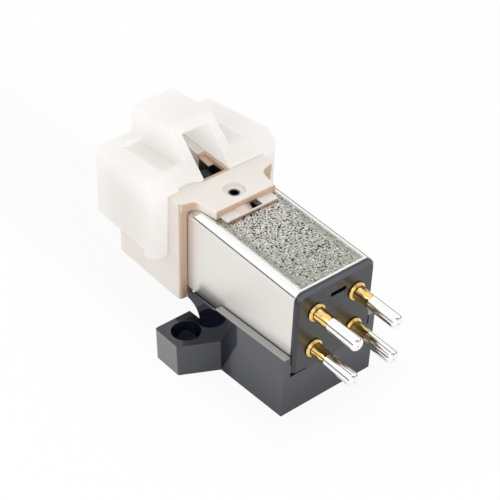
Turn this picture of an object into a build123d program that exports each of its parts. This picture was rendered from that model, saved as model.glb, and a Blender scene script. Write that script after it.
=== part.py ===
from build123d import *
from math import cos, radians, sin, tan
import os

# A moving-magnet pickup cartridge that lies on its mounting face with the stylus side up.
# Part frame: Z = 0 is the mounting face, the origin is midway between the two mounting
# holes, -Y is the stylus end and +Y the terminal end. All lengths are in millimetres.

# Mounting base
hole_spacing = 12.7
hole_diameter = 2.65
base_width = 10.0
rim_height = 6.3
rim_front_y = 2.35
rim_step = 0.25
front_wall_y = 0.2
nose_reach = 1.6
nose_depth = 0.75
groove_width = 0.55
groove_floor = 0.2
ear_height = 3.15
ear_margin = 1.85
ear_spread = 0.1
ear_front = 2.0
ear_rear = 1.25
ear_root = 3.05
ear_overlap = 0.6
ear_corner_radius = 0.25
rim_edge_radius = 0.12

# Tilted body: the can, the terminals and the stylus unit lean by body_pitch, so that the
# stylus end stands further from the mounting face. In the body frame y runs back to the
# outer face of the terminals, which is y = 0, and z stands square to the can's top.
body_pitch = 4.0
rear_face_y = 11.2
base_setback = 0.25

# Shield can
can_width = 8.4
can_top = 12.8
can_bottom = 4.6
can_length = 13.55
can_corner_radius = 0.8
sheet_thickness = 0.4
pin_notch_length = 1.6
latch_width = 2.2
latch_length = 0.75
tray_fit = 0.03

# Terminal block and pins
plate_thickness = 0.5
plate_bottom = 4.4
plate_gap = 0.12
plate_drop = 0.12
block_depth = 1.7
block_fit = 0.05
core_boss_diameter = 1.6
plate_bevel = 0.28
slot_width = 1.65
slot_height = 0.42
slot_depth = 0.4
slot_drop = 1.57
slot_shift = 0.2
pin_diameter = 1.2
pin_offset = 0.075
pin_level = 8.4
pin_spacing_z = 3.85
pin_length = 5.1
pin_shank_diameter = 0.8
pin_tail = 0.7
collar_diameter = 1.7
collar_thickness = 0.22
flare_waist_diameter = 1.34
flare_waist = 0.4
flare_length = 0.75
pin_tip_taper = 0.2
press_fit = 0.01

# Generator inside the can
core_thickness = 0.8
leg_height = 1.0
yoke_gap = 1.2
yoke_thickness = 0.8
upper_tip_reach = 2.3
pole_arm_length = 0.9
pole_arm_gap = 0.4
coil_start = 0.3
coil_gap = 0.75
coil_side_gap = 0.2
coil_roof_gap = 0.525
coil_rib_gap = 0.15
flange_thickness = 0.3
bobbin_wall = 0.25
bobbin_fit = 0.04
winding_step = 0.08
winding_radius = 0.5
lead_diameter = 0.16
carrier_floor = 0.275
carrier_side_gap = 0.3
carrier_rib = 0.9
carrier_rib_height = 3.2
carrier_fit = 0.05

# Stylus holder
holder_width = 10.2
holder_length = 8.85
holder_bottom = 3.5
holder_rise = 0.85
holder_gap = 0.1
holder_edge_bevel = 0.5
holder_rear_radius = 0.4
wing_lean = 0.3
wing_gap = 0.1
trough_front_width = 1.5
trough_rear_width = 1.1
trough_depth = 2.4
window_width = 2.3
window_setback = 1.65
window_length = 2.85
ramp_top = 0.2
ramp_drop = 0.15
ramp_length = 1.3
pocket_width = 8.2
pocket_floor = 5.1
pocket_step = 0.1
pocket_front_wall = 1.1
plug_clearance = 0.1
plug_drop = 3.6
plug_roof_gap = 0.15
plug_coil_gap = 0.65
plug_length = 3.4
lip_length = 2.6
lip_root_width = 9.8
lip_width = 7.1
lip_end_width = 6.4
lip_root_step = 0.1
lip_waist = 0.45
lip_waist_radius = 0.8
lip_edge_radius = 0.2
lip_fit = 0.05
lip_joint = 0.5
foot_width = 5.5
foot_reach = 0.95
foot_thickness = 0.2
foot_bar = 0.15
pry_notch_width = 2.4
pry_notch_height = 0.3
pry_notch_depth = 0.5
latch_depth = 0.85
lip_hole_back = 1.0
lip_hole_diameter = 2.0
lip_hole_depth = 0.33
roll_pin_diameter = 1.05
roll_pin_bore = 0.75
roll_pin_gap = 0.03

# Suspension and cantilever
pivot_back = 1.4
pivot_drop = 2.2
cantilever_angle = 19.0
sleeve_diameter = 1.9
sleeve_bore = 1.6
sleeve_rear = 1.0
sleeve_front = 5.2
sleeve_seat_room = 0.3
sleeve_seat_reach = 5.0
damper_thickness = 0.6
damper_play = 0.05
anchor_thickness = 0.5
anchor_gap = 0.06
wire_diameter = 0.16
wire_grip = 0.4
tube_diameter = 0.5
tube_bore = 0.3
tube_start = 0.45
tip_distance = 9.35
tube_overhang = 0.25
magnet_carrier_side = 0.56
magnet_turn = 45.0
magnet_carrier_length = 1.4
magnet_thickness = 0.34
magnet_width = 0.4
magnet_length = 1.1
tip_side = 0.24
tip_shank_length = 0.75
tip_point_length = 0.28
tip_flat = 0.06

# Stylus guard
guard_fit = 0.1
guard_pitch = 5.5
guard_front_width = 12.4
guard_rear_width = 13.7
guard_front_wall = 1.15
guard_front_gap = 0.3
guard_skirt = 7.3
guard_leg_bottom = 7.5
guard_leg_length = 1.3
guard_rise = 0.65
guard_rear_gap = 1.35
guard_rear_edge = 0.2
guard_front_radius = 0.3
guard_rear_radius = 0.6
ramp_angle = 43.0
tower_rise = 2.58
tower_top_width = 4.5
tower_foot_width = 5.0
tower_roof = 0.65
tunnel_width = 2.8
well_rim = 1.7
well_depth = 0.35
well_front = 1.5
well_rear = 7.0

# Places that follow from the sizes above
hole_x = hole_spacing / 2
base_half = base_width / 2
nose_top = rim_height - rim_step
can_half = can_width / 2
can_rear = -plate_thickness
can_front = can_rear - can_length
can_inner_half = can_half - sheet_thickness
can_inner_top = can_top - sheet_thickness
block_rear = -plate_thickness
block_front = block_rear - block_depth
pin_levels = {"upper": pin_level + pin_spacing_z / 2, "lower": pin_level - pin_spacing_z / 2}
sides = {"left": 1, "right": -1}
holder_rear = can_front - holder_gap
holder_front = holder_rear - holder_length
holder_half = holder_width / 2
holder_top = can_top + holder_rise
lip_bottom = can_top + lip_fit
lip_end = holder_rear + lip_length
latch_half = latch_width / 2
latch_front = lip_end - pry_notch_depth
pin_hole_y = holder_rear + lip_hole_back
plug_rear = holder_rear + plug_length
plug_bottom = can_top - plug_drop
plug_top = can_inner_top - plug_roof_gap
yoke_rear = block_front - yoke_gap
yoke_front = yoke_rear - yoke_thickness
coil_rear = yoke_front - coil_start
coil_front = plug_rear + plug_coil_gap
carrier_top = can_bottom + carrier_floor
coil_floor = carrier_top + carrier_fit
coil_roof = can_inner_top - coil_roof_gap
flange_half_z = (coil_roof - coil_floor - coil_gap) / 4
coil_levels = {"upper": coil_roof - flange_half_z, "lower": coil_floor + flange_half_z}
flange_inner = carrier_rib / 2 + coil_rib_gap
flange_outer = can_inner_half - coil_side_gap
flange_half_x = (flange_outer - flange_inner) / 2
core_x = (flange_outer + flange_inner) / 2
pin_x = core_x + pin_offset
spool_half_x = core_thickness / 2 + bobbin_fit + bobbin_wall
spool_half_z = leg_height / 2 + bobbin_fit + bobbin_wall
plug_half = core_x - core_thickness / 2 - plug_clearance
pivot_level = can_top - pivot_drop
pivot = (0, holder_rear + pivot_back, pivot_level)
guard_inner_half = holder_half + guard_fit
guard_front_half = guard_front_width / 2
guard_half = guard_rear_width / 2
guard_ceiling = holder_top + guard_fit
guard_inner_front = holder_front - guard_front_gap
guard_front = guard_inner_front - guard_front_wall
guard_rear = holder_rear - guard_rear_gap
guard_top_front = holder_top + guard_rise
tower_top_front = guard_top_front + tower_rise
ramp_foot = guard_ceiling + guard_rear_edge

# Reach of a cut that runs out of the part, and of one that only passes a face
far = 60.0
past = 1.0

# The body frame and the cantilever's own frame, both as places in the part frame
body = Location((0, rear_face_y, 0), (-body_pitch, 0, 0))
arm = body * Location(pivot, (-cantilever_angle, 0, 0))


def box(x0, x1, y0, y1, z0, z1):
    """A box between two corners."""
    size = Vector(x1 - x0, y1 - y0, z1 - z0)
    centre = Vector(x0 + x1, y0 + y1, z0 + z1) * 0.5
    return Pos(centre) * Box(size.X, size.Y, size.Z)


def side_profile(points, half_width):
    """A closed outline of (y, z) points, extruded to both sides of the middle plane."""
    outline = Polyline([(0, y, z) for y, z in points], close=True)
    return extrude(make_face(outline), amount=half_width, dir=(1, 0, 0), both=True)


def plan(points, z0, z1):
    """A closed outline of (x, y) points, extruded from z0 to z1."""
    outline = Polyline([(x, y, z0) for x, y in points], close=True)
    return extrude(make_face(outline), amount=z1 - z0, dir=(0, 0, 1))


def rod(radius, y0, y1, x=0.0, z=0.0):
    """A round rod along y."""
    return Pos(x, (y0 + y1) / 2, z) * Rot(90, 0, 0) * Cylinder(radius, y1 - y0)


def edges_along(shape, axis):
    return shape.edges().filter_by(axis)


def made(shape):
    """The single solid of a shape."""
    return shape.solids().sort_by(SortBy.VOLUME)[-1]


def base_rear_y(z):
    """Where the base's rear wall, square to the can, stands at height z."""
    return rear_face_y + (z * sin(radians(body_pitch)) - base_setback) / cos(radians(body_pitch))


def mounting_base():
    nose_y = front_wall_y - nose_reach
    arc_top = nose_top - nose_depth
    arc_foot = arc_top - nose_reach
    diagonal = nose_reach * cos(radians(45))
    walls = Polyline(
        (0, nose_y, arc_top),
        (0, nose_y, nose_top),
        (0, rim_front_y, nose_top),
        (0, rim_front_y, rim_height),
        (0, base_rear_y(rim_height), rim_height),
        (0, base_rear_y(0), 0),
        (0, front_wall_y, 0),
        (0, front_wall_y, arc_foot),
    )
    sweep_up = ThreePointArc(
        (0, front_wall_y, arc_foot),
        (0, nose_y + diagonal, arc_foot + diagonal),
        (0, nose_y, arc_top),
    )
    block = extrude(make_face(walls + sweep_up), amount=base_half, dir=(1, 0, 0), both=True)
    rim_edges = [e for e in block.edges() if abs(e.center().Z - rim_height) < 0.01]
    block = fillet(rim_edges, rim_edge_radius)
    seat_half = can_half + tray_fit
    tray = box(-seat_half, seat_half, -far, 0, can_bottom, far)
    plate_seat = box(-seat_half, seat_half, -plate_thickness - tray_fit, far, plate_bottom, far)
    groove_half = can_half + groove_width
    groove = box(-groove_half, groove_half, -far, rim_front_y, arc_top + groove_floor, far)
    block = block - body * tray - body * plate_seat - groove
    ear_outer = hole_x + ear_margin
    ear = plan(
        [
            (base_half - ear_overlap, -ear_front),
            (ear_outer, -ear_front),
            (ear_outer + ear_spread, ear_rear),
            (base_half, ear_root),
            (base_half - ear_overlap, ear_root),
        ],
        0,
        ear_height,
    )
    outer_edges = edges_along(ear, Axis.Z).sort_by(Axis.X)[-2:]
    ear = fillet(outer_edges, ear_corner_radius)
    ear = ear - Pos(hole_x, 0, ear_height / 2) * Cylinder(hole_diameter / 2, ear_height * 2)
    return made(block + ear + mirror(ear, Plane.YZ))


def shield_can():
    outer = box(-can_half, can_half, can_front, can_rear, can_bottom, can_top)
    outer = fillet(edges_along(outer, Axis.Y).group_by(Axis.Z)[-1], can_corner_radius)
    inner = box(-can_inner_half, can_inner_half, -far, far, can_bottom - past, can_inner_top)
    inner = fillet(edges_along(inner, Axis.Y).group_by(Axis.Z)[-1], can_corner_radius - sheet_thickness)
    notch_half = roll_pin_diameter / 2 + lip_fit
    notch = box(-notch_half, notch_half, -far, can_front + pin_notch_length, can_inner_top - past, far)
    latch = box(-latch_half, latch_half, latch_front, lip_end + latch_length, can_inner_top - past, far)
    return body * made(outer - inner - notch - latch)


def terminal_block():
    plate = box(-can_half, can_half, block_rear, 0, plate_bottom + plate_gap, can_top - plate_drop)
    plate = fillet(edges_along(plate, Axis.Y).group_by(Axis.Z)[-1], can_corner_radius)
    plate = chamfer(plate.faces().sort_by(Axis.Y)[-1].edges().sort_by(Axis.Z)[1:], plate_bevel)
    inside = can_inner_half - block_fit
    block = box(-inside, inside, block_front, block_rear, can_bottom + block_fit, can_inner_top - block_fit)
    block = fillet(edges_along(block, Axis.Y).group_by(Axis.Z)[-1], can_corner_radius - sheet_thickness)
    solid = plate + block
    for side in sides.values():
        solid += rod(core_boss_diameter / 2, yoke_rear, block_front, side * core_x, pin_level)
        for level in pin_levels.values():
            bore = pin_shank_diameter / 2 + press_fit
            solid -= rod(bore, block_front - past, past, side * pin_x, level)
    slot_floor = can_top - slot_drop - slot_height / 2
    slot = box(-slot_width / 2, slot_width / 2, -slot_depth, past, slot_floor, slot_floor + slot_height)
    return body * made(solid - Pos(-slot_shift, 0, 0) * slot)


def terminal_pin(side, level):
    pin_radius = pin_diameter / 2
    collar_radius = collar_diameter / 2
    shank_radius = pin_shank_diameter / 2
    tail_end = block_front - pin_tail
    half_section = Polyline(
        (0, tail_end),
        (shank_radius, tail_end),
        (shank_radius, 0),
        (collar_radius, 0),
        (collar_radius, collar_thickness),
        (flare_waist_diameter / 2, flare_waist),
        (pin_radius, flare_length),
        (pin_radius, pin_length - pin_tip_taper),
        (pin_radius - pin_tip_taper, pin_length),
        (0, pin_length),
        close=True,
    )
    turned = revolve(make_face(half_section), Axis.Y)
    return body * Pos(side * pin_x, 0, level) * made(turned)


def pole_core(side):
    inner = side * core_x - core_thickness / 2
    outer = inner + core_thickness
    upper = coil_levels["upper"]
    lower = coil_levels["lower"]
    half_leg = leg_height / 2
    upper_tip = coil_front - upper_tip_reach
    lower_tip = coil_front - pole_arm_gap - pole_arm_length
    yoke = box(inner, outer, yoke_front, yoke_rear, lower - half_leg, upper + half_leg)
    upper_leg = box(inner, outer, upper_tip, yoke_rear, upper - half_leg, upper + half_leg)
    lower_leg = box(inner, outer, lower_tip, yoke_rear, lower - half_leg, lower + half_leg)
    arm_top = plug_bottom - carrier_fit
    pole_arm = box(inner, outer, lower_tip, lower_tip + pole_arm_length, lower - half_leg, arm_top)
    return body * made(yoke + upper_leg + lower_leg + pole_arm)


def coil_bobbin(side, level):
    x = side * core_x
    hole_half_x = core_thickness / 2 + bobbin_fit
    hole_half_z = leg_height / 2 + bobbin_fit
    spool_floor = level - spool_half_z
    spool_roof = level + spool_half_z
    spool = box(x - spool_half_x, x + spool_half_x, coil_front, coil_rear, spool_floor, spool_roof)
    for start in (coil_front, coil_rear - flange_thickness):
        spool += box(
            x - flange_half_x,
            x + flange_half_x,
            start,
            start + flange_thickness,
            level - flange_half_z,
            level + flange_half_z,
        )
    hole = box(x - hole_half_x, x + hole_half_x, -far, far, level - hole_half_z, level + hole_half_z)
    return body * made(spool - hole)


def coil_winding(side, level):
    x = side * core_x
    half_x = flange_half_x - winding_step
    half_z = flange_half_z - winding_step
    front = coil_front + flange_thickness
    rear = coil_rear - flange_thickness
    turns = box(x - half_x, x + half_x, front, rear, level - half_z, level + half_z)
    turns = fillet(edges_along(turns, Axis.Y), winding_radius)
    hole = box(x - spool_half_x, x + spool_half_x, -far, far, level - spool_half_z, level + spool_half_z)
    return body * made(turns - hole)


def coil_lead(side, level):
    """A fine wire from the pin's tail to the back flange of its coil."""
    tail_end = block_front - pin_tail
    wire_x = pin_x + pin_shank_diameter / 2 + lead_diameter / 2
    wire = rod(lead_diameter / 2, coil_rear, tail_end + pin_tail / 2, side * wire_x, level)
    return body * made(wire)


def coil_carrier():
    rear = block_front - carrier_fit
    front = can_front + carrier_fit
    half = can_inner_half - carrier_side_gap
    floor = box(-half, half, front, rear, can_bottom, carrier_top)
    rib_half = carrier_rib / 2
    rib = box(-rib_half, rib_half, coil_front, coil_rear, carrier_top, carrier_top + carrier_rib_height)
    return body * made(floor + rib)


def lip():
    """The tongue of the holder that lies on the can, with a thin foot and a pry notch at its end."""
    outline = [
        (lip_root_width / 2, holder_rear - lip_joint),
        (lip_root_width / 2, holder_rear + lip_root_step),
        (lip_width / 2, holder_rear + lip_waist),
        (lip_end_width / 2, lip_end),
    ]
    mirrored = [(-x, y) for x, y in reversed(outline)]
    plate = plan(outline + mirrored, lip_bottom, holder_top)
    plate = fillet(edges_along(plate, Axis.Z).group_by(Axis.Y)[-2], lip_waist_radius)
    rim = [e for e in plate.faces().sort_by(Axis.Z)[-1].edges() if e.center().Y > holder_rear]
    plate = fillet(rim, lip_edge_radius)
    foot_half = foot_width / 2
    foot_end = lip_end + foot_reach
    foot_top = lip_bottom + foot_thickness
    foot = box(-foot_half, foot_half, lip_end - lip_joint, foot_end, lip_bottom, foot_top)
    notch_half = pry_notch_width / 2
    notch_top = lip_bottom + pry_notch_height
    notch = box(-notch_half, notch_half, latch_front, foot_end - foot_bar, lip_bottom - past, notch_top)
    return plate + foot - notch


def stylus_holder():
    shell = side_profile(
        [
            (holder_front, holder_bottom),
            (holder_front, holder_top),
            (holder_rear, holder_top),
            (holder_rear + wing_lean, holder_bottom),
        ],
        holder_half,
    )
    rear_edges = shell.faces().sort_by(Axis.Y)[-1].edges().sort_by(Axis.X)
    shell = fillet([rear_edges[0], rear_edges[-1]], holder_rear_radius)
    front_edges = shell.faces().sort_by(Axis.Y)[0].edges()
    shell = chamfer(front_edges, holder_edge_bevel)
    can_room = can_half + wing_gap
    shell -= box(-can_room, can_room, holder_rear, far, -far, far)
    window_rear = holder_rear - window_setback
    window_front = window_rear - window_length
    ramp_rear = window_front + ramp_length
    window = side_profile(
        [
            (window_front, far),
            (window_front, holder_top - ramp_top),
            (ramp_rear, holder_top - ramp_top - ramp_drop),
            (ramp_rear, pocket_floor),
            (window_rear, pocket_floor),
            (window_rear, far),
        ],
        window_width / 2,
    )
    trough = plan(
        [
            (-trough_front_width / 2, holder_front - past),
            (trough_front_width / 2, holder_front - past),
            (trough_rear_width / 2, window_rear),
            (-trough_rear_width / 2, window_rear),
        ],
        holder_top - trough_depth,
        far,
    )
    pocket_half = pocket_width / 2
    pocket_front = holder_front + pocket_front_wall
    pocket = box(-pocket_half, pocket_half, pocket_front, far, pocket_floor, plug_bottom - pocket_step)
    plug = box(-plug_half, plug_half, holder_rear - lip_joint, plug_rear, plug_bottom, plug_top)
    plug -= box(-latch_half, latch_half, latch_front, far, plug_top - latch_depth, far)
    solid = shell - trough - window - pocket + plug + lip()
    seat_front = -sleeve_front - sleeve_seat_room
    sleeve_seat = rod(sleeve_diameter / 2 + press_fit, seat_front, sleeve_rear + sleeve_seat_reach)
    recess = Pos(0, pin_hole_y, holder_top) * Cylinder(lip_hole_diameter / 2, 2 * lip_hole_depth)
    seat_depth = holder_top - pivot_level
    pin_seat = Pos(0, pin_hole_y, holder_top) * Cylinder(roll_pin_diameter / 2 + press_fit, 2 * seat_depth)
    return made(body * (solid - recess - pin_seat) - arm * sleeve_seat)


def roll_pin():
    """A hollow pin, pressed in through the lip until it stands on the sleeve."""
    pin_top = holder_top - lip_hole_depth
    radius = roll_pin_diameter / 2
    slope = radians(cantilever_angle)
    pin_front = pin_hole_y - radius
    sleeve_top = pivot_level + (pivot[1] - pin_front) * tan(slope) + sleeve_diameter / 2 / cos(slope)
    length = pin_top - sleeve_top - roll_pin_gap
    tube = Cylinder(radius, length) - Cylinder(roll_pin_bore / 2, length * 2)
    return body * Pos(0, pin_hole_y, pin_top - length / 2) * made(tube)


def suspension_sleeve():
    tube = rod(sleeve_diameter / 2, -sleeve_front, sleeve_rear)
    return arm * made(tube - rod(sleeve_bore / 2, -far, far))


def rubber_damper():
    disc = rod(sleeve_bore / 2 - damper_play, -damper_thickness / 2, damper_thickness / 2)
    return arm * made(disc - rod(wire_diameter / 2 + press_fit, -far, far))


def wire_anchor():
    start = damper_thickness / 2 + anchor_gap
    return arm * made(rod(sleeve_bore / 2 - press_fit, start, start + anchor_thickness))


def tension_wire():
    """The wire that the cantilever turns on, from the tube's bore back through the damper."""
    return arm * made(rod(wire_diameter / 2, -tube_start - wire_grip, damper_thickness / 2))


def magnet_carrier():
    side = magnet_carrier_side
    front = -tube_start - magnet_carrier_length
    bar = box(-side / 2, side / 2, front, -tube_start, -side / 2, side / 2)
    bar = bar - rod(tube_diameter / 2 + press_fit, -far, far)
    return arm * Rot(0, magnet_turn, 0) * made(bar)


def magnet(side):
    start = magnet_carrier_side / 2
    half = magnet_width / 2
    front = -tube_start - (magnet_carrier_length + magnet_length) / 2
    slab = box(-half, half, front, front + magnet_length, start, start + magnet_thickness)
    return arm * Rot(0, side * magnet_turn, 0) * made(slab)


def cantilever_tube():
    end = -tip_distance - tube_overhang
    tube = rod(tube_diameter / 2, end, -tube_start) - rod(tube_bore / 2, -far, far)
    seat_side = tip_side + 2 * press_fit
    seat = Pos(0, -tip_distance, 0) * Box(seat_side, seat_side, tube_diameter * 2)
    return arm * made(tube - seat)


def stylus_tip():
    """A square stone with a four-sided point."""
    bottom = -tube_diameter / 2
    shoulder = bottom + tip_shank_length
    crest = shoulder + tip_point_length
    half = tip_side / 2
    gable = side_profile(
        [
            (-half, bottom),
            (half, bottom),
            (half, shoulder),
            (tip_flat / 2, crest),
            (-tip_flat / 2, crest),
            (-half, shoulder),
        ],
        half,
    )
    stone = gable & (Rot(0, 0, 90) * gable)
    return arm * Pos(0, -tip_distance, 0) * made(stone)


def guard_line(top_at_front, y):
    """Height at y of one of the guard's faces that lean by guard_pitch to the can's top."""
    return top_at_front + (y - guard_front) * tan(radians(guard_pitch))


def ramp_crest(top_at_front):
    """Where the guard's slanted rear face meets such a top."""
    ramp = tan(radians(ramp_angle))
    lean = tan(radians(guard_pitch))
    return (ramp_foot + guard_rear * ramp - top_at_front + guard_front * lean) / (lean + ramp)


def stylus_guard():
    leg_front = guard_rear - guard_leg_length
    deck_rear = ramp_crest(guard_top_front)
    shell = side_profile(
        [
            (guard_front, guard_skirt),
            (guard_front, guard_top_front),
            (deck_rear, guard_line(guard_top_front, deck_rear)),
            (guard_rear, ramp_foot),
            (guard_rear, guard_leg_bottom),
            (leg_front, guard_leg_bottom),
            (leg_front, guard_line(guard_skirt, leg_front)),
        ],
        guard_half,
    )
    taper = [
        (-guard_front_half, guard_front),
        (guard_front_half, guard_front),
        (guard_half, guard_rear),
        (-guard_half, guard_rear),
    ]
    shell = shell & plan(taper, 0, far)
    shell = fillet(edges_along(shell, Axis.Z).group_by(Axis.Y)[0], guard_front_radius)
    shell = fillet(edges_along(shell, Axis.Z).group_by(Axis.Y)[-1], guard_rear_radius)
    tower_rear = ramp_crest(tower_top_front)
    tower_side = side_profile(
        [
            (guard_front, guard_ceiling),
            (guard_front, tower_top_front),
            (tower_rear, guard_line(tower_top_front, tower_rear)),
            (guard_rear, ramp_foot),
            (guard_rear, guard_ceiling),
        ],
        guard_half,
    )
    foot = tower_foot_width / 2
    lean = (foot - tower_top_width / 2) / (tower_top_front - guard_ceiling)
    tower_over = tower_top_front + past
    over_half = foot - lean * (tower_over - guard_ceiling)
    tower_end = Polyline(
        (-foot, guard_front, guard_ceiling - guard_fit),
        (foot, guard_front, guard_ceiling - guard_fit),
        (over_half, guard_front, tower_over),
        (-over_half, guard_front, tower_over),
        close=True,
    )
    tower = tower_side & extrude(make_face(tower_end), amount=guard_rear - guard_front, dir=(0, 1, 0))
    tunnel_rear = guard_rear + past
    tunnel_top_front = tower_top_front - tower_roof
    tunnel = side_profile(
        [
            (guard_inner_front, guard_ceiling - guard_fit),
            (guard_inner_front, guard_line(tunnel_top_front, guard_inner_front)),
            (tunnel_rear, guard_line(tunnel_top_front, tunnel_rear)),
            (tunnel_rear, guard_ceiling - guard_fit),
        ],
        tunnel_width / 2,
    )
    hollow = box(-guard_inner_half, guard_inner_half, guard_inner_front, far, 0, guard_ceiling)
    well_start = guard_front + well_front
    well_end = guard_front + well_rear
    well_top_front = guard_top_front - well_depth
    well = side_profile(
        [
            (well_start, guard_line(well_top_front, well_start)),
            (well_start, far),
            (well_end, far),
            (well_end, guard_line(well_top_front, well_end)),
        ],
        guard_front_half - well_rim,
    )
    return body * made(shell - well + tower - tunnel - hollow)


nodes = {
    "mounting_base": mounting_base(),
    "shield_can": shield_can(),
    "terminal_block": terminal_block(),
    "coil_carrier": coil_carrier(),
    "stylus_holder": stylus_holder(),
    "roll_pin": roll_pin(),
    "suspension_sleeve": suspension_sleeve(),
    "rubber_damper": rubber_damper(),
    "wire_anchor": wire_anchor(),
    "tension_wire": tension_wire(),
    "magnet_carrier": magnet_carrier(),
    "cantilever_tube": cantilever_tube(),
    "stylus_tip": stylus_tip(),
    "stylus_guard": stylus_guard(),
}
for name, side in sides.items():
    nodes[f"pole_core_{name}"] = pole_core(side)
    nodes[f"magnet_{name}"] = magnet(side)
    for row, level in pin_levels.items():
        nodes[f"terminal_pin_{name}_{row}"] = terminal_pin(side, level)
        nodes[f"coil_lead_{name}_{row}"] = coil_lead(side, level)
        nodes[f"coil_bobbin_{name}_{row}"] = coil_bobbin(side, coil_levels[row])
        nodes[f"coil_winding_{name}_{row}"] = coil_winding(side, coil_levels[row])

os.makedirs("parts", exist_ok=True)
for name, solid in nodes.items():
    export_step(solid, f"parts/{name}.step")
print(len(nodes), "nodes")
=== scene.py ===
# %% [markdown]
# # A phono cartridge on a white table
# The real thing is a pickup about 30 mm long: a black moulded base with two screw ears, a folded
# metal can that shields the coils, four plated pins at the back, and a beige stylus holder under a
# frosted guard. It lies upside down, on the face that is screwed to the tone arm.
# The solids come from the CAD pack, so the first cell loads them. Everything after it is about
# looks: where the camera stands, how soft the edges are, and what each finish is.

# %% Load the imported model
import math

import bmesh
import bpy
from mathutils import Matrix, Vector


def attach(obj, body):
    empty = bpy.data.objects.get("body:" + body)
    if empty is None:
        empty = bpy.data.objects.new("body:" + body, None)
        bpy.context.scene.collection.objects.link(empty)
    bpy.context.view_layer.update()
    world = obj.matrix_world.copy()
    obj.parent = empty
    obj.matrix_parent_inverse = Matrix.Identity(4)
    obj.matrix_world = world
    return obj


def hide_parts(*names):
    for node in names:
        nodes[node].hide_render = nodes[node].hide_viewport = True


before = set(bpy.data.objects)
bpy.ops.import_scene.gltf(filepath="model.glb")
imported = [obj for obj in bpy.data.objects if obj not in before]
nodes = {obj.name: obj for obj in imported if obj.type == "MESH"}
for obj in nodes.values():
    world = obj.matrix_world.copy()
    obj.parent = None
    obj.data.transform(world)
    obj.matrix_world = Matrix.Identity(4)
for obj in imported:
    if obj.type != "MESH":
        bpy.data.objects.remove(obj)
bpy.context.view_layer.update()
MM = 0.001

# %% [markdown]
# ## The camera
# A photograph fixes the camera: its direction, its distance and its lens all show in how the can's
# edges run together. One could turn the view by eye, but the half-inch between the screw holes gives a
# scale, and a fit over the corners of the can, the base and the pins gives the rest. The picture is
# square, so the lens follows from the sensor's width, and a small shift puts the part where it was.

# %% Camera
azimuth, elevation, roll = (math.radians(a) for a in (140.369, 37.392, -0.393))
aim = Vector((0, 2, 6)) * MM
distance = 136.179 * MM
back = Vector((
    math.sin(azimuth) * math.cos(elevation),
    -math.cos(azimuth) * math.cos(elevation),
    math.sin(elevation),
))
level = Vector((math.cos(azimuth), math.sin(azimuth), 0))
rise = back.cross(level)
right = level * math.cos(roll) + rise * math.sin(roll)
up = rise * math.cos(roll) - level * math.sin(roll)

lens = bpy.data.cameras.new("studio_camera")
lens.sensor_width = 36.0
lens.lens = 113.85
lens.shift_x = -0.015
lens.shift_y = 0.0724
lens.clip_start = 5 * MM
lens.clip_end = 20.0
camera = bpy.data.objects.new("studio_camera", lens)
bpy.context.scene.collection.objects.link(camera)
turn = Matrix((right, up, back)).transposed().to_4x4()
camera.matrix_world = Matrix.Translation(aim + back * distance) @ turn
bpy.context.scene.camera = camera
print("camera at", [round(v / MM, 1) for v in camera.location], "mm")

# %% [markdown]
# ## Sums with sockets
# A finish is a small calculation: a patch of noise times a mask, one minus the mask, and so on. Blender
# draws each step as a node. Clicking them together works, but a page of Python reads more easily, so a
# wire here is a socket that ordinary sums can use. Each sum adds its own Math node.

# %% Wires
def connect(value, socket):
    """Links a wire to a socket, or sets a plain value on it."""
    if isinstance(value, Wire):
        socket.id_data.links.new(value.socket, socket)
    else:
        socket.default_value = value


class Wire:
    """An output socket that plain sums can use."""

    def __init__(self, socket):
        self.socket = socket

    def maths(self, operation, first, second):
        node = self.socket.id_data.nodes.new("ShaderNodeMath")
        node.operation = operation
        connect(first, node.inputs[0])
        connect(second, node.inputs[1])
        return Wire(node.outputs[0])

    def __add__(self, other):
        return self.maths("ADD", self, other)

    def __radd__(self, other):
        return self.maths("ADD", other, self)

    def __sub__(self, other):
        return self.maths("SUBTRACT", self, other)

    def __rsub__(self, other):
        return self.maths("SUBTRACT", other, self)

    def __mul__(self, other):
        return self.maths("MULTIPLY", self, other)

    def __rmul__(self, other):
        return self.maths("MULTIPLY", other, self)

    def __abs__(self):
        return self.maths("ABSOLUTE", self, 0.0)

    def __or__(self, other):
        return self.maths("MAXIMUM", self, other)

    def __ror__(self, other):
        return self.maths("MAXIMUM", other, self)


print("wires can add, subtract, multiply, drop a sign and take the larger of two")

# %% [markdown]
# ## A graph of nodes
# Materials and the world are both graphs. One method makes any node in them: first the node's settings,
# then its sockets. A few uses come up so often that they get names: a smooth step between two values, a
# band with two such edges, a mix of two colours, and a dot product.

# %% Graphs
class Graph:
    """A tree of nodes, made one call at a time."""

    def __init__(self, tree):
        self.tree = tree

    def node(self, kind, settings, sockets, out=0):
        made = self.tree.nodes.new("ShaderNode" + kind)
        for key, value in settings.items():
            setattr(made, key, value)
        for key, value in sockets.items():
            connect(value, made.inputs[key])
        return Wire(made.outputs[out])

    def step(self, value, start, end):
        """Goes smoothly from 0 to 1 while the value goes from start to end."""
        limits = {0: value, 1: start, 2: end, 3: 0.0, 4: 1.0}
        return self.node("MapRange", {"interpolation_type": "SMOOTHSTEP"}, limits)

    def band(self, value, rise, fall):
        """One inside a band. Each of its two edges is a pair: where the edge is 0 and where it is 1."""
        return self.step(value, *rise) * self.step(value, *fall)

    def mix(self, share, first, second):
        """The first colour where the share is 0 and the second where it is 1."""
        return self.node("Mix", {"data_type": "RGBA"}, {0: share, 6: first, 7: second}, 2)

    def dot(self, vector, direction):
        """How far a vector goes along a direction."""
        return self.node("VectorMath", {"operation": "DOT_PRODUCT"}, {0: vector, 1: direction}, "Value")


print("graphs make nodes, steps, bands, mixes and dot products")

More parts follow.
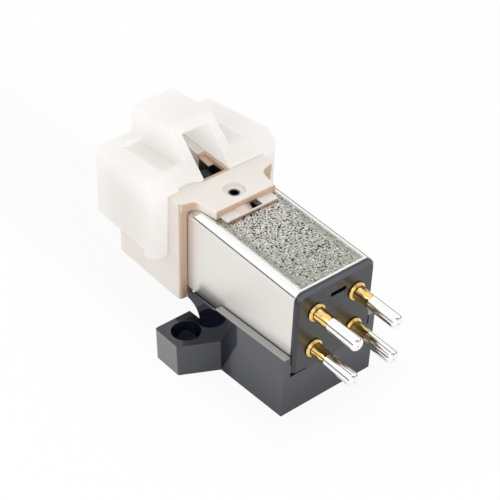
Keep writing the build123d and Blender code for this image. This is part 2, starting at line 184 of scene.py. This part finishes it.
# %% [markdown]
# ## A finish
# Every real surface has a colour, a gloss and a grain, and none of the three is quite even. A finish is
# the graph of a material, with helpers that measure a place on the part in millimetres, so that a grain
# of a sixth of a millimetre is written as just that. The can and the stylus unit lean by four degrees
# on the base, and the leaning directions are kept as vectors, because finishes change along them.

# %% Finishes
LEAN = math.radians(4)
ACROSS = (1.0, 0.0, 0.0)
BACKWARD = (0.0, math.cos(LEAN), -math.sin(LEAN))
UPWARD = (0.0, math.sin(LEAN), math.cos(LEAN))
REAR_FACE = Vector((0, 11.2, 0))


def grey(value):
    return (value, value, value, 1.0)


class Finish(Graph):
    """A material, with measures of the surface in the part's own frame."""

    def __init__(self, name):
        self.material = bpy.data.materials.new(name)
        self.material.use_nodes = True
        super().__init__(self.material.node_tree)
        self.shader = self.tree.nodes["Principled BSDF"]

    def surface(self, **sockets):
        """Sets the shader's sockets; an underscore in a name stands for a space."""
        for key, value in sockets.items():
            connect(value, self.shader.inputs[key.replace("_", " ")])

    def cover(self, share, shader):
        """Lays another shader over the surface, by a share from 0 to 1."""
        mixed = self.node("MixShader", {}, {0: share, 1: Wire(self.shader.outputs[0]), 2: shader})
        connect(mixed, self.tree.nodes["Material Output"].inputs["Surface"])

    def paint_black_shade(self, share):
        """Lays a matt black over the surface, as painted shade for hollows that swallow the light."""
        self.cover(share, self.node("BsdfDiffuse", {}, {"Color": grey(0.003), "Roughness": 1.0}))

    def place(self):
        """Where the surface is, in millimetres of the part's own frame."""
        spot = self.node("TexCoord", {}, {}, "Object")
        return self.node("VectorMath", {"operation": "SCALE"}, {0: spot, "Scale": 1 / MM})

    def along(self, direction):
        """How far along a direction the surface is, in millimetres."""
        return self.dot(self.place(), direction)

    def body_reach(self):
        """Distance along the leaning body, in millimetres: 0 at its rear face, less than 0 in front."""
        return self.along(BACKWARD) - REAR_FACE.dot(BACKWARD)

    def body_level(self):
        """Height on the leaning body, in millimetres."""
        return self.along(UPWARD) - REAR_FACE.dot(UPWARD)

    def facing(self, direction):
        """One where the surface faces a direction, and less as it turns away."""
        return self.dot(self.node("TexCoord", {}, {}, "Normal"), direction)

    def noise(self, size, detail=2.0, stretch=(1.0, 1.0, 1.0)):
        """Soft blotches of about this size in millimetres, from 0 to 1."""
        spot = self.node("VectorMath", {"operation": "MULTIPLY"}, {0: self.place(), 1: stretch})
        return self.node("TexNoise", {}, {"Vector": spot, "Scale": 1 / size, "Detail": detail})

    def bump(self, height, depth):
        """A normal for relief of this depth in millimetres."""
        return self.node("Bump", {}, {"Strength": 1.0, "Distance": depth * MM, "Height": height})


def dress(finish, *names):
    """Gives a finish to the CAD nodes with these names."""
    for name in names:
        for slot in nodes[name].material_slots:
            slot.material = finish.material
    print(finish.material.name, "on", ", ".join(names))


print(len(nodes), "nodes to finish; the body leans by", round(math.degrees(LEAN)), "degrees")

# %% [markdown]
# ## The notch in the guard
# The guard's rear edge has a small notch beside the arch, where the beige holder shows. The CAD guard
# has none, and a CAD mesh is never changed here, so a copy of it takes its place in the picture: a
# small block is cut out of the copy, and the copy rides on the guard. A painted patch would have been
# less work, but it would have no depth.

# %% Cut the notch
def body_spot(across, back, up):
    """A point on the leaning body in millimetres: across, back from its rear face, and up."""
    return REAR_FACE + Vector(ACROSS) * across + Vector(BACKWARD) * back + Vector(UPWARD) * up


def block(name, corners):
    """A solid with six sides, from four lower and four upper corners on the leaning body."""
    mesh = bpy.data.meshes.new(name)
    spots = [body_spot(*corner) * MM for corner in corners]
    sides = [(3, 2, 1, 0), (4, 5, 6, 7), (0, 1, 5, 4), (1, 2, 6, 5), (2, 3, 7, 6), (3, 0, 4, 7)]
    mesh.from_pydata(spots, [], sides)
    piece = bpy.data.objects.new(name, mesh)
    bpy.context.scene.collection.objects.link(piece)
    return piece


WELD_REACH = 0.001


def weld_facets(piece):
    """Joins the corners of facets that meet, which a CAD mesh keeps apart."""
    weld = piece.modifiers.new("weld_facets", "WELD")
    weld.merge_threshold = WELD_REACH * MM


notch_plan = [(2.4, -15.9), (4.0, -15.9), (4.0, -15.0), (1.0, -15.0)]
notch_floor, above_guard = 13.6, 15.0
cutter = block("cutter", [(*spot, up) for up in (notch_floor, above_guard) for spot in notch_plan])
guard_piece = bpy.data.objects.new("notched_guard", nodes["stylus_guard"].data.copy())
bpy.context.scene.collection.objects.link(guard_piece)
weld_facets(guard_piece)
cut = guard_piece.modifiers.new("cut_notch", "BOOLEAN")
cut.operation = "DIFFERENCE"
cut.solver = "EXACT"
cut.object = cutter
notched = guard_piece.evaluated_get(bpy.context.evaluated_depsgraph_get())
guard_piece.data = bpy.data.meshes.new_from_object(notched)
guard_piece.modifiers.clear()
bpy.data.objects.remove(cutter)
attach(guard_piece, "guard")
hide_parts("stylus_guard")
print("notched guard with", len(guard_piece.data.polygons), "faces")

# %% [markdown]
# ## Soft edges
# No moulded or folded edge is sharp: a tool's corner has a radius of about a twentieth of a millimetre,
# and that thin band is what catches the light. The edges could be rounded in CAD, at the price of
# many faces in the physics model. Here modifiers do it on the way to the picture: weld the facets,
# join the flat ones, round what is left, and even out the shading.

# %% Round the edges
FLAT_ANGLE = math.radians(0.5)
SHARP_ANGLE = math.radians(32)
EDGE_PARTS = 3
LARGE_FACES_FIRST = 80


def soften(radius, *pieces):
    """Rounds the sharp edges of these pieces by a radius in millimetres."""
    for piece in pieces:
        weld_facets(piece)
        modifiers = piece.modifiers
        join = modifiers.new("join_flats", "DECIMATE")
        join.decimate_type = "DISSOLVE"
        join.angle_limit = FLAT_ANGLE
        rounding = modifiers.new("round_edges", "BEVEL")
        rounding.width = radius * MM
        rounding.segments = EDGE_PARTS
        rounding.limit_method = "ANGLE"
        rounding.angle_limit = SHARP_ANGLE
        shading = modifiers.new("even_shading", "WEIGHTED_NORMAL")
        shading.weight = LARGE_FACES_FIRST
    print("edges of", radius, "mm on", ", ".join(piece.name for piece in pieces))


soften(0.06, nodes["mounting_base"], nodes["terminal_block"])
soften(0.05, guard_piece)
soften(0.045, nodes["stylus_holder"])
soften(0.04, nodes["shield_can"], nodes["roll_pin"])

# %% [markdown]
# ## The black base
# The base is one moulding in polished black plastic. Its colour is nearly nothing; what one sees is the
# white table in its gloss, as sharp as in a mirror, with faint haze where the mould was less bright.
# The ends of the ears shine a little more, which a clear coat gives. The top of the rim beside the can
# is a pale, dull grey with fine marks. Three places swallow the light: the groove along the can, the
# seam under the left end of the terminal plate and, by half, the wall beside the ear, where the ear's
# reflection and shade fall. They could be cut as deep gaps, but painted black shade keeps the moulding
# whole.

# %% Base finish
RIM_HEIGHT, GROOVE_FLOOR = 6.28, 5.42
GROOVE_HALF, GROOVE_REAR, CAN_HALF = 4.75, 2.4, 4.3
WALL_HALF, EAR_REACH = 5.02, 8.1
base = Finish("polished_black_moulding")
haze = base.noise(2.2, 3.0)
speck = base.noise(0.12, 2.0)
height = base.along((0.0, 0.0, 1.0))
depth = base.along((0.0, 1.0, 0.0))
leftward = base.along(ACROSS)
out = abs(leftward)
rim_top = base.step(height, RIM_HEIGHT - 0.08, RIM_HEIGHT)
in_front = base.step(depth, GROOVE_REAR + 0.1, GROOVE_REAR)
# Painted shade: these masks mark the groove, the gap along the can and the gap under the plate for matt
# black.
front_groove = in_front * base.step(out, GROOVE_HALF + 0.04, GROOVE_HALF)
can_gap_shade = base.step(out, CAN_HALF + 0.06, CAN_HALF)
groove = (front_groove | can_gap_shade) * base.step(height, GROOVE_FLOOR - 0.06, GROOVE_FLOOR)
sideways = abs(base.facing(ACROSS))
side_wall = base.step(sideways, 0.7, 0.9) * base.step(out, WALL_HALF + 0.08, WALL_HALF)
# Painted shade and painted reflection: the wall beside the ear gets half of the matt black.
ear_wall_shade = side_wall * base.step(depth, 5.0, 3.6)
ear_end = base.step(sideways, 0.9, 0.98) * base.step(out, EAR_REACH - 0.2, EAR_REACH)
under_plate = base.band(base.body_level(), (4.06, 4.12), (4.46, 4.42))
left_end = base.band(leftward, (2.35, 2.55), (4.3, 4.25))
plate_gap_shade = under_plate * left_end * base.step(base.body_reach(), -0.4, -0.3)
tool_marks = base.noise(0.08, 2.0, (1.0, 0.25, 1.0))
gloss_colour = base.mix(haze, (0.005, 0.007, 0.017, 1.0), (0.009, 0.012, 0.026, 1.0))
rim_colour = base.mix(tool_marks, grey(0.23), grey(0.36))
base.surface(
    Base_Color=base.mix(rim_top, gloss_colour, rim_colour),
    Roughness=0.035 + 0.05 * haze + 0.4 * rim_top,
    Normal=base.bump(speck + 2.0 * rim_top * tool_marks, 0.0008),
    Coat_Weight=ear_end,
    IOR=1.84,
)
# Painted shade: matt black over the groove, the gaps and, by half, the wall beside the ear.
base.paint_black_shade(groove | plate_gap_shade | (0.5 * ear_wall_shade))
dress(base, "mounting_base")

# %% [markdown]
# ## The metal can
# The can is folded from plated sheet. Its sides keep the satin of the rolled sheet: they mirror the
# table softly and scatter a part of the light, so they are less than fully metallic. The top has a
# coarse grain, like fine sandpaper, that breaks the reflection into dark pits and bright crumbs about a
# sixth of a millimetre wide. The grain stops short of the two long folds and of a thin strip at the
# rear edge. The folds are near-white, partly their polish and partly a painted highlight, and the bare
# rear strip is a painted highlight line. Towards the folds and towards the rear, the grain's specks are
# fewer and its ground is greyer. A picture of sandpaper could be laid on, but noise that is measured in
# millimetres has no seams. The masks go by the direction that the surface faces, by the distance from
# the middle of the can and by the distance from its rear.

# %% Can finish
GRAIN_HALF, GRAIN_REAR = 3.15, -0.72
can = Finish("satin_and_grained_sheet")
skyward = can.facing(UPWARD)
off_centre = abs(can.along(ACROSS))
fold = can.step(skyward, 0.15, 0.55)
top = can.step(skyward, 0.95, 0.995)
# Painted highlight: a thin strip at the rear edge is left ungrained and bright.
rear_edge_highlight = can.step(can.body_reach(), GRAIN_REAR, GRAIN_REAR + 0.1)
grained = top * can.step(off_centre, GRAIN_HALF + 0.4, GRAIN_HALF) * (1 - rear_edge_highlight)
margin = can.step(off_centre, 2.2, 3.1)
rolled = can.noise(0.25, 3.0, (1.0, 0.08, 1.0))
satin_colour = can.mix(rolled, (0.78, 0.755, 0.71, 1.0), (0.83, 0.805, 0.765, 1.0))
# Painted highlight: the folds are near-white, partly for polish and partly as a highlight.
satin_and_fold_highlight_colour = can.mix(fold, satin_colour, (0.95, 0.945, 0.93, 1.0))

blotches = can.noise(0.9, 2.0)
ground = can.noise(0.22, 2.0)
specks = can.noise(0.16, 1.0)
glints = can.noise(0.14, 0.0)
rearward = can.step(can.body_reach(), -9.0, -1.0)
thinning = 0.06 * margin + 0.03 * rearward
dark = can.step(specks + 0.14 * blotches - thinning, 0.625, 0.65)
bright = can.step(glints - thinning, 0.62, 0.66)
ground_colour = can.mix(can.step(ground, 0.3, 0.7), (0.48, 0.475, 0.42, 1.0), (0.66, 0.65, 0.59, 1.0))
ground_colour = can.mix(margin | (0.7 * rearward), ground_colour, (0.36, 0.36, 0.31, 1.0))
grain_colour = can.mix(bright, ground_colour, (0.85, 0.85, 0.81, 1.0))
grain_colour = can.mix(dark, grain_colour, (0.015, 0.015, 0.012, 1.0))
can.surface(
    Base_Color=can.mix(grained, satin_and_fold_highlight_colour, grain_colour),
    Metallic=0.6 + 0.4 * fold,
    Roughness=0.3 + 0.08 * rolled + 0.06 * grained - 0.18 * fold * (1 - grained),
    Normal=can.bump((glints - specks) * grained + 0.08 * rolled, 0.012),
)
dress(can, "shield_can")

# %% [markdown]
# ## The terminal block
# The plate that carries the pins is moulded in a dark, slightly blue plastic with the very fine tooth of
# a spark-eroded mould, and a slow cloud keeps its colour from being even. The bevel along its upper
# edge catches the light, so it is painted lighter as a highlight, and it is duller. The short slot is
# cut in the solid. Its floor could be left to the light alone, but so shallow a slot would look grey,
# so its inside is painted black as shade.

# %% Terminal finish
plate = Finish("dark_terminal_moulding")
tooth = plate.noise(0.09, 3.0)
cloud = plate.noise(1.6, 2.0)
# Painted highlight: the bevel along the upper edge is lighter.
bevel = plate.step(plate.facing(UPWARD), 0.25, 0.6) * plate.step(plate.facing(BACKWARD), 0.25, 0.6)
SLOT_MIDDLE, SLOT_HALF = -0.2, 0.86
from_slot = abs(plate.along(ACROSS) - SLOT_MIDDLE)
slot_level = plate.band(plate.body_level(), (10.9, 10.95), (11.55, 11.5))
slot_place = plate.step(from_slot, SLOT_HALF + 0.04, SLOT_HALF) * slot_level
in_slot = slot_place * plate.step(plate.body_reach(), -0.02, -0.06)
face_colour = plate.mix(cloud, (0.014, 0.0148, 0.019, 1.0), (0.023, 0.024, 0.029, 1.0))
plate.surface(
    Base_Color=plate.mix(bevel, face_colour, (0.075, 0.08, 0.105, 1.0)),
    Roughness=0.2 + 0.12 * cloud + 0.15 * bevel,
    Normal=plate.bump(tooth, 0.003),
    IOR=1.58,
)
# Painted shade: the inside of the slot is matt black.
plate.paint_black_shade(in_slot)
dress(plate, "terminal_block")

# %% [markdown]
# ## Turned pins
# A pin is a lathe job: an outline spun round its own line. The CAD pin has the right length and
# diameter but few steps, so this outline adds what the lathe leaves. There is a round bead at the plate,
# a hollow flare, a hair's step where the silver begins, and a rounded nose with a centre mark. A spun
# outline gives exact rings, where a subdivided cylinder would go soft at the step. A few more rings on
# the straight lengths keep their shading even.

# %% Spin the pins
RING = 56
ARC_PARTS = 10


def bow(middle, radius, start, end):
    """Points on an arc about a (radius, distance) middle, from one angle to another in degrees."""
    angles = (math.radians(start + (end - start) * i / ARC_PARTS) for i in range(ARC_PARTS + 1))
    return [(middle[0] + radius * math.cos(a), middle[1] + radius * math.sin(a)) for a in angles]


def spun(name, outline, side, row):
    """A closed solid from (radius, distance) points, round a line that leaves the rear face."""
    shape = bmesh.new()
    loops = []
    for radius, reach in outline:
        middle = body_spot(side, reach, row)
        count = RING if radius > 0 else 1
        loop = []
        for i in range(count):
            angle = 2 * math.pi * i / RING
            spoke = Vector(ACROSS) * math.cos(angle) + Vector(UPWARD) * math.sin(angle)
            loop.append(shape.verts.new((middle + spoke * radius) * MM))
        loops.append(loop)
    for inner, outer in zip(loops, loops[1:]):
        for i in range(RING):
            corners = [inner[i % len(inner)], inner[(i + 1) % len(inner)]]
            corners += [outer[(i + 1) % len(outer)], outer[i % len(outer)]]
            shape.faces.new(list(dict.fromkeys(corners)))
    bmesh.ops.recalc_face_normals(shape, faces=shape.faces)
    mesh = bpy.data.meshes.new(name)
    shape.to_mesh(mesh)
    shape.free()
    mesh.shade_smooth()
    piece = bpy.data.objects.new(name, mesh)
    bpy.context.scene.collection.objects.link(piece)
    return piece


TAIL, BARREL, CONTACT = 0.4, 0.6, 0.62
BEAD, NOSE = 0.13, 0.31
tail = [(0.0, -2.9), (0.38, -2.9), (TAIL, -2.87), (TAIL, -0.03), (TAIL, 0.0), (0.7, 0.0)]
bead = bow((0.73, BEAD), BEAD, -85, 85)
flare = [(0.672, 0.275), (0.66, 0.3), (0.664, 0.34), (0.664, 0.4)]
flare += [(0.65, 0.5), (0.628, 0.66), (0.609, 0.84)]
barrel = [(BARREL, reach) for reach in (1.05, 1.5, 1.87)]
silver_step = [(0.604, 1.885), (0.616, 1.895)]
contact = [(CONTACT, reach) for reach in (1.91, 1.95, 2.6, 3.4, 4.3, 4.74)]
nose = bow((NOSE, 4.79), NOSE, 3, 87)
centre_mark = [(0.27, 5.1), (0.17, 5.1), (0.15, 5.09), (0.12, 5.03), (0.0, 5.0)]
pin_outline = tail + bead + flare + barrel + silver_step + contact + nose + centre_mark

PIN_SIDE = 2.175
pin_rows = {"upper": 10.325, "lower": 6.475}
pin_pieces = []
for side_name, side in (("left", PIN_SIDE), ("right", -PIN_SIDE)):
    for row_name, row in pin_rows.items():
        pin_piece = spun(f"turned_pin_{side_name}_{row_name}", pin_outline, side, row)
        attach(pin_piece, "cartridge_body")
        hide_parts(f"terminal_pin_{side_name}_{row_name}")
        pin_pieces.append(pin_piece)
print(len(pin_pieces), "pins with", len(pin_pieces[0].data.polygons), "faces each")

# %% [markdown]
# ## Plating
# The root of each pin and its bead stay gold, and beyond about two millimetres the contact length is
# bright silver. The lathe leaves fine rings round the pin, so the noise is stretched across and short
# along it. Two materials would meet in a ruled line. One material that changes along the pin lets the
# edge of the silver wander a little, as a dipped edge does.

# %% Pin finish
pin = Finish("gold_and_silver_plating")
rings = pin.noise(0.1, 2.0, (0.05, 1.0, 0.05))
wander = pin.noise(0.6, 2.0)
silvered = pin.step(pin.body_reach() + 0.12 * wander, 1.92, 1.99)
gold_colour = pin.mix(wander, (0.94, 0.6, 0.17, 1.0), (1.0, 0.74, 0.33, 1.0))
pin.surface(
    Base_Color=pin.mix(silvered, gold_colour, (0.97, 0.965, 0.955, 1.0)),
    Metallic=1.0,
    Roughness=0.05 + 0.06 * rings,
    Normal=pin.bump(rings, 0.0012),
)
for pin_piece in pin_pieces:
    pin_piece.data.materials.append(pin.material)
print(pin.material.name, "on", len(pin_pieces), "pins")

# %% [markdown]
# ## The stylus holder
# The holder is moulded in a pale, pinkish beige plastic that lets a little light in. Where it faces the
# can, and where it shows inside the guard's arch, its colour is painted a deeper brown as shade. A trace
# of light below the surface gives a little warmth of its own, and masks by direction and place paint the
# shade. The cantilever's window and the pry notch are deep, and their walls are painted black as shade,
# because hardly any light comes back out of them.

# %% Holder finish
holder = Finish("beige_holder_moulding")
flow = holder.noise(3.0, 3.0)
skin = holder.noise(0.14, 3.0)
reach_back = holder.body_reach()
stands = holder.body_level()
recess = body_spot(0.0, -13.15, 13.5)
ends = {0: holder.place(), 1: recess}
from_recess = holder.node("VectorMath", {"operation": "DISTANCE"}, ends, "Value")
# Painted shade: faces turned to the rear become a darker brown.
tan_shade = holder.step(holder.facing(BACKWARD), 0.25, 0.85) * holder.step(from_recess, 1.1, 1.2)
off_middle = abs(holder.along(ACROSS))
near_middle = holder.step(off_middle, 1.3, 1.25)
window_reach = holder.band(reach_back, (-18.8, -18.7), (-15.7, -15.85))
window = window_reach * holder.band(stands, (10.5, 10.6), (13.32, 13.26))
notch_reach = holder.band(reach_back, (-12.3, -12.15), (-10.7, -10.8))
notch = notch_reach * holder.band(stands, (11.3, 11.4), (12.7, 12.6))
# Painted shade: the walls of the window and of the pry notch are near-black.
hollow = near_middle * (window | notch)
arch_reach = holder.band(reach_back, (-19.0, -18.9), (-15.45, -15.55))
# Painted shade: the holder inside the guard's arch becomes a darker brown.
under_guard_shade = holder.step(off_middle, 1.5, 1.4) * arch_reach * holder.step(stands, 13.2, 13.3)
pale_colour = holder.mix(flow, (0.755, 0.7, 0.655, 1.0), (0.795, 0.745, 0.7, 1.0))
shade_tan_colour = holder.mix(flow, (0.51, 0.35, 0.25, 1.0), (0.6, 0.44, 0.33, 1.0))
skin_and_shade_colour = holder.mix(tan_shade | under_guard_shade, pale_colour, shade_tan_colour)
holder.surface(
    Base_Color=holder.mix(hollow, skin_and_shade_colour, (0.012, 0.01, 0.009, 1.0)),
    Roughness=0.4 + 0.14 * skin,
    Normal=holder.bump(skin, 0.003),
    Subsurface_Weight=0.25,
    Subsurface_Radius=(1.0, 0.6, 0.4),
    Subsurface_Scale=0.8 * MM,
)
dress(holder, "stylus_holder")

# %% [markdown]
# ## The pry notch
# A small window at the end of the lip lets a nail or a blade lift the stylus unit. The moulding runs
# on into the left of this window as a sloping step, and only its right end is a dark hole. A bevelled
# cube would do, but the step is so small that a plan and the heights of its corners are quicker. Its
# colour is painted shade: a darker beige than the holder's, going to a dark brown towards the hole.

# %% Step in the notch
step_plan = [(-0.3, -11.6), (1.19, -11.6), (1.19, -10.77), (-0.1, -10.77)]
step_foot = 12.86
step_heights = (13.14, 13.14, 12.98, 12.98)
foot = [(*spot, step_foot) for spot in step_plan]
crown = [(*spot, up) for spot, up in zip(step_plan, step_heights)]
lip_step = block("lip_step", foot + crown)
step_finish = Finish("beige_step_moulding")
step_flow = step_finish.noise(0.6, 2.0)
# Painted shade: the step's colour darkens to brown towards the hole.
step_shade = step_finish.step(step_finish.along(ACROSS), 0.5, -0.35)
step_shaded_beige = step_finish.mix(step_flow, (0.7, 0.57, 0.49, 1.0), (0.76, 0.64, 0.56, 1.0))
step_finish.surface(
    Base_Color=step_finish.mix(step_shade, step_shaded_beige, (0.26, 0.16, 0.115, 1.0)),
    Roughness=0.42 + 0.12 * step_flow,
)
lip_step.data.materials.append(step_finish.material)
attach(lip_step, "stylus_unit")
print("lip_step rides on the stylus unit")

# %% [markdown]
# ## The stylus guard
# The guard is a clear plastic with a frosted skin. Light goes in, is scattered, and comes out all over,
# so it is nearly as bright on its shaded sides as on top, and the beige holder behind it shows only as
# a warm shade. A clear glass would show too much and a white paint too little. More than half of this
# surface is a translucent shader, which passes on light from its other side, and the rest is a pale
# plastic with a soft gloss.

# %% Guard finish
guard = Finish("frosted_guard_moulding")
frost = guard.noise(0.18, 3.0)
milk = guard.noise(2.5, 2.0)
guard.surface(
    Base_Color=guard.mix(milk, (0.982, 0.972, 0.958, 1.0), (0.995, 0.988, 0.978, 1.0)),
    Roughness=0.34 + 0.16 * frost,
    Normal=guard.bump(frost, 0.004),
    IOR=1.46,
)
PASSED_ON = 0.6
guard.cover(PASSED_ON, guard.node("BsdfTranslucent", {}, {"Color": (1.0, 0.993, 0.983, 1.0)}))
guard_piece.data.materials.clear()
guard_piece.data.materials.append(guard.material)
print(guard.material.name, "on the guard")

# %% [markdown]
# ## The roll pin, the cantilever and other small metal
# A rolled steel pin sits in the holder's recess, and a thin aluminium tube carries the stone. Behind it
# are the tension wire, its brass anchor and the stamped cores of the coils. Drawn or rolled metal has
# lines along its length. One could scratch them in as relief, but they are too fine to see as shapes, so
# one function makes them from noise that is stretched the way the metal was worked.

# %% Small metal finishes
def drawn_metal(name, dark, light, roughness, stretch):
    """A metal with fine lines along the way it was drawn."""
    metal = Finish(name)
    lines = metal.noise(0.05, 2.0, stretch)
    metal.surface(
        Base_Color=metal.mix(lines, dark, light),
        Metallic=1.0,
        Roughness=roughness + 0.12 * lines,
        Normal=metal.bump(lines, 0.002),
    )
    return metal


along_y = (1.0, 0.06, 1.0)
along_z = (1.0, 1.0, 0.06)
steel_pin = drawn_metal("rolled_steel", grey(0.02), grey(0.42), 0.16, along_z)
dress(steel_pin, "roll_pin")
tube = drawn_metal("drawn_aluminium", grey(0.68), grey(0.82), 0.2, along_y)
dress(tube, "cantilever_tube")
wire = drawn_metal("tension_wire_steel", grey(0.5), grey(0.66), 0.2, along_y)
dress(wire, "tension_wire")
laminate = drawn_metal("stamped_core_steel", grey(0.42), grey(0.56), 0.35, (0.06, 1.0, 1.0))
dress(laminate, "pole_core_left", "pole_core_right")
brass = drawn_metal("turned_brass", (0.6, 0.44, 0.18, 1.0), (0.72, 0.56, 0.26, 1.0), 0.25, along_y)
dress(brass, "wire_anchor")

# %% [markdown]
# ## Inside the can
# The coils are the heart of the part, though the closed can hides them. Enamelled copper is wound in
# turns about a tenth of a millimetre wide round a pale bobbin. A helix of real wire would take many
# thousands of faces that nobody sees, so a wave along the winding gives the turns. The bobbins, the
# sleeve, the rubber and the magnets are all plain and dull, so one function makes them, and they differ
# only in colour and roughness.

# %% Coil finishes
TURN_WIDTH = 0.12
copper = Finish("enamelled_copper")
depth_in = copper.along(BACKWARD)
turns = copper.node("Math", {"operation": "SINE"}, {0: depth_in * (2 * math.pi / TURN_WIDTH)})
tarnish = copper.noise(0.8, 3.0)
copper.surface(
    Base_Color=copper.mix(tarnish, (0.5, 0.2, 0.07, 1.0), (0.68, 0.31, 0.12, 1.0)),
    Metallic=1.0,
    Roughness=0.25 + 0.15 * tarnish,
    Normal=copper.bump(turns, 0.02),
)
rows = [f"{side}_{row}" for side in ("left", "right") for row in pin_rows]
dress(copper, *(f"coil_winding_{row}" for row in rows), *(f"coil_lead_{row}" for row in rows))


def plain_moulding(name, dark, light, roughness):
    """A dull moulded material with a slow cloud and a fine skin."""
    moulding = Finish(name)
    blotch = moulding.noise(1.2, 3.0)
    pores = moulding.noise(0.1, 2.0)
    moulding.surface(
        Base_Color=moulding.mix(blotch, dark, light),
        Roughness=roughness + 0.15 * pores,
        Normal=moulding.bump(pores, 0.004),
    )
    return moulding


bobbin = plain_moulding("pale_bobbin_moulding", (0.68, 0.65, 0.58, 1.0), (0.78, 0.75, 0.69, 1.0), 0.4)
dress(bobbin, "coil_carrier", "magnet_carrier", *(f"coil_bobbin_{row}" for row in rows))
sleeve = plain_moulding("black_sleeve_moulding", grey(0.004), grey(0.009), 0.5)
dress(sleeve, "suspension_sleeve")
rubber = plain_moulding("damper_rubber", grey(0.014), grey(0.028), 0.6)
dress(rubber, "rubber_damper")
magnet = plain_moulding("ground_magnet", grey(0.12), grey(0.2), 0.35)
dress(magnet, "magnet_left", "magnet_right")

# %% [markdown]
# ## The stone
# The tip is a ground stone, clear and hard. At its size a pale grey would nearly do, but it would stay
# dead when one looks closer. Glass is the nearest shader, and a faint cloud in its roughness keeps it
# from looking like a hole.

# %% Stone finish
stone = Finish("ground_stone")
faint_cloud = stone.noise(0.05, 2.0)
stone.surface(
    Base_Color=stone.mix(faint_cloud, (0.86, 0.9, 0.93, 1.0), (0.95, 0.97, 0.98, 1.0)),
    Roughness=0.04 + 0.08 * faint_cloud,
    Transmission_Weight=0.8,
    IOR=2.2,
)
dress(stone, "stylus_tip")

# %% [markdown]
# ## The table
# The photograph has a pure white ground. More light on the part would burn out its pale plastics, so
# the table itself is white to the camera, to reflections and to clear plastic, and an ordinary pale
# diffuse floor to all other light. A share of the diffuse floor is left in each of them, so the part
# keeps a soft shadow where it stands. Right beside the base it lies in the shade, so there it is
# darker and gives less to the reflections. Under the ears, where the screw holes show it, it adds no
# white to them at all.

# %% Table
table_half = 1.5
table_level = -0.02 * MM
quarters = ((-1, -1), (1, -1), (1, 1), (-1, 1))
corners = [(x * table_half, y * table_half, table_level) for x, y in quarters]
sheet = bpy.data.meshes.new("table")
sheet.from_pydata(corners, [], [(0, 1, 2, 3)])
table = bpy.data.objects.new("table", sheet)
bpy.context.scene.collection.objects.link(table)

paper = Finish("white_table")
table_out = abs(paper.along(ACROSS))
table_back = paper.along((0.0, 1.0, 0.0))
painted_contact_shadow = paper.step(table_out | (table_back - 6.0), 9.5, 4.8)
under_ears = paper.step(table_out, 8.3, 8.0) * paper.step(abs(table_back + 0.4), 1.9, 1.6)
# Painted shadow: the table's colour is darker right beside the base.
paper.surface(Base_Color=paper.mix(painted_contact_shadow, grey(0.86), grey(0.45)), Roughness=0.9)
glow = paper.node("Emission", {}, {"Color": grey(1.0), "Strength": 1.0})
seen = paper.node("LightPath", {}, {}, "Is Camera Ray")
mirrored = paper.node("LightPath", {}, {}, "Is Glossy Ray")
through = paper.node("LightPath", {}, {}, "Is Transmission Ray")
# Painted shadow: beside the base the white glow in reflections is weaker, and under the ears it is gone.
open_table = (1 - under_ears) * (1 - 0.4 * painted_contact_shadow)
paper.cover((0.93 * seen) | (0.65 * mirrored * open_table) | (0.65 * through), glow)
sheet.materials.append(paper.material)
print("table", 2 * table_half, "m wide")

# %% [markdown]
# ## The light
# A light tent is white all round, with two dark places: the gap between the table's edge and the tent's
# wall, and a doorway high behind the part. The gap draws the thin dark lines along the pins and the
# folds of the can, and the doorway darkens what faces up and back. So the world is white to the camera
# and to clear plastic, white with both dark places to reflections, and a little dimmer as a light. Many
# lamps could stand in for the tent, but each would show as a spot in the polished base. Three softboxes
# are enough to give the shapes a light and a dark side: a weak one above, a broad one behind and a small
# one to the side of the front.

# %% World and lamps
world = bpy.data.worlds.new("light_tent")
bpy.context.scene.world = world
world.use_nodes = True
tent = Graph(world.node_tree)
toward_tent = tent.node("TexCoord", {}, {}, "Generated")
tent_height = tent.dot(toward_tent, (0.0, 0.0, 1.0))
gap = tent.band(tent_height, (-0.02, 0.03), (0.28, 0.19))
HIGH_BEHIND = (0.1, 0.74, 0.66)
doorway = tent.step(tent.dot(toward_tent, HIGH_BEHIND), 0.8, 0.93)
tent_seen = tent.node("LightPath", {}, {}, "Is Camera Ray")
tent_mirrored = tent.node("LightPath", {}, {}, "Is Glossy Ray")
tent_through = tent.node("LightPath", {}, {}, "Is Transmission Ray")
AMBIENT = 0.9
DOOR_DARKNESS = 0.95
shown = tent_seen | tent_through | (tent_mirrored * (1 - gap) * (1 - DOOR_DARKNESS * doorway))
dim = AMBIENT * (1 - tent_mirrored)
background = world.node_tree.nodes["Background"]
background.inputs["Color"].default_value = grey(1.0)
connect(shown | dim, background.inputs["Strength"])


PART_MIDDLE = Vector((0, 0, 8)) * MM


def softbox(name, spot, size, power):
    """A square lamp that looks at the middle of the part; lengths in millimetres."""
    lamp = bpy.data.lights.new(name, "AREA")
    lamp.size = size * MM
    lamp.energy = power
    stand = bpy.data.objects.new(name, lamp)
    bpy.context.scene.collection.objects.link(stand)
    stand.location = Vector(spot) * MM
    toward = PART_MIDDLE - stand.location
    stand.rotation_mode = "QUATERNION"
    stand.rotation_quaternion = toward.to_track_quat("-Z", "Y")
    print(name, "at", spot)


softbox("top_softbox", (-50, 10, 200), 110, 0.02)
softbox("rear_softbox", (100, 185, 62), 300, 0.25)
softbox("side_softbox", (110, -133, 138), 80, 0.05)

# %% View transform
bpy.context.scene.view_settings.view_transform = "Standard"
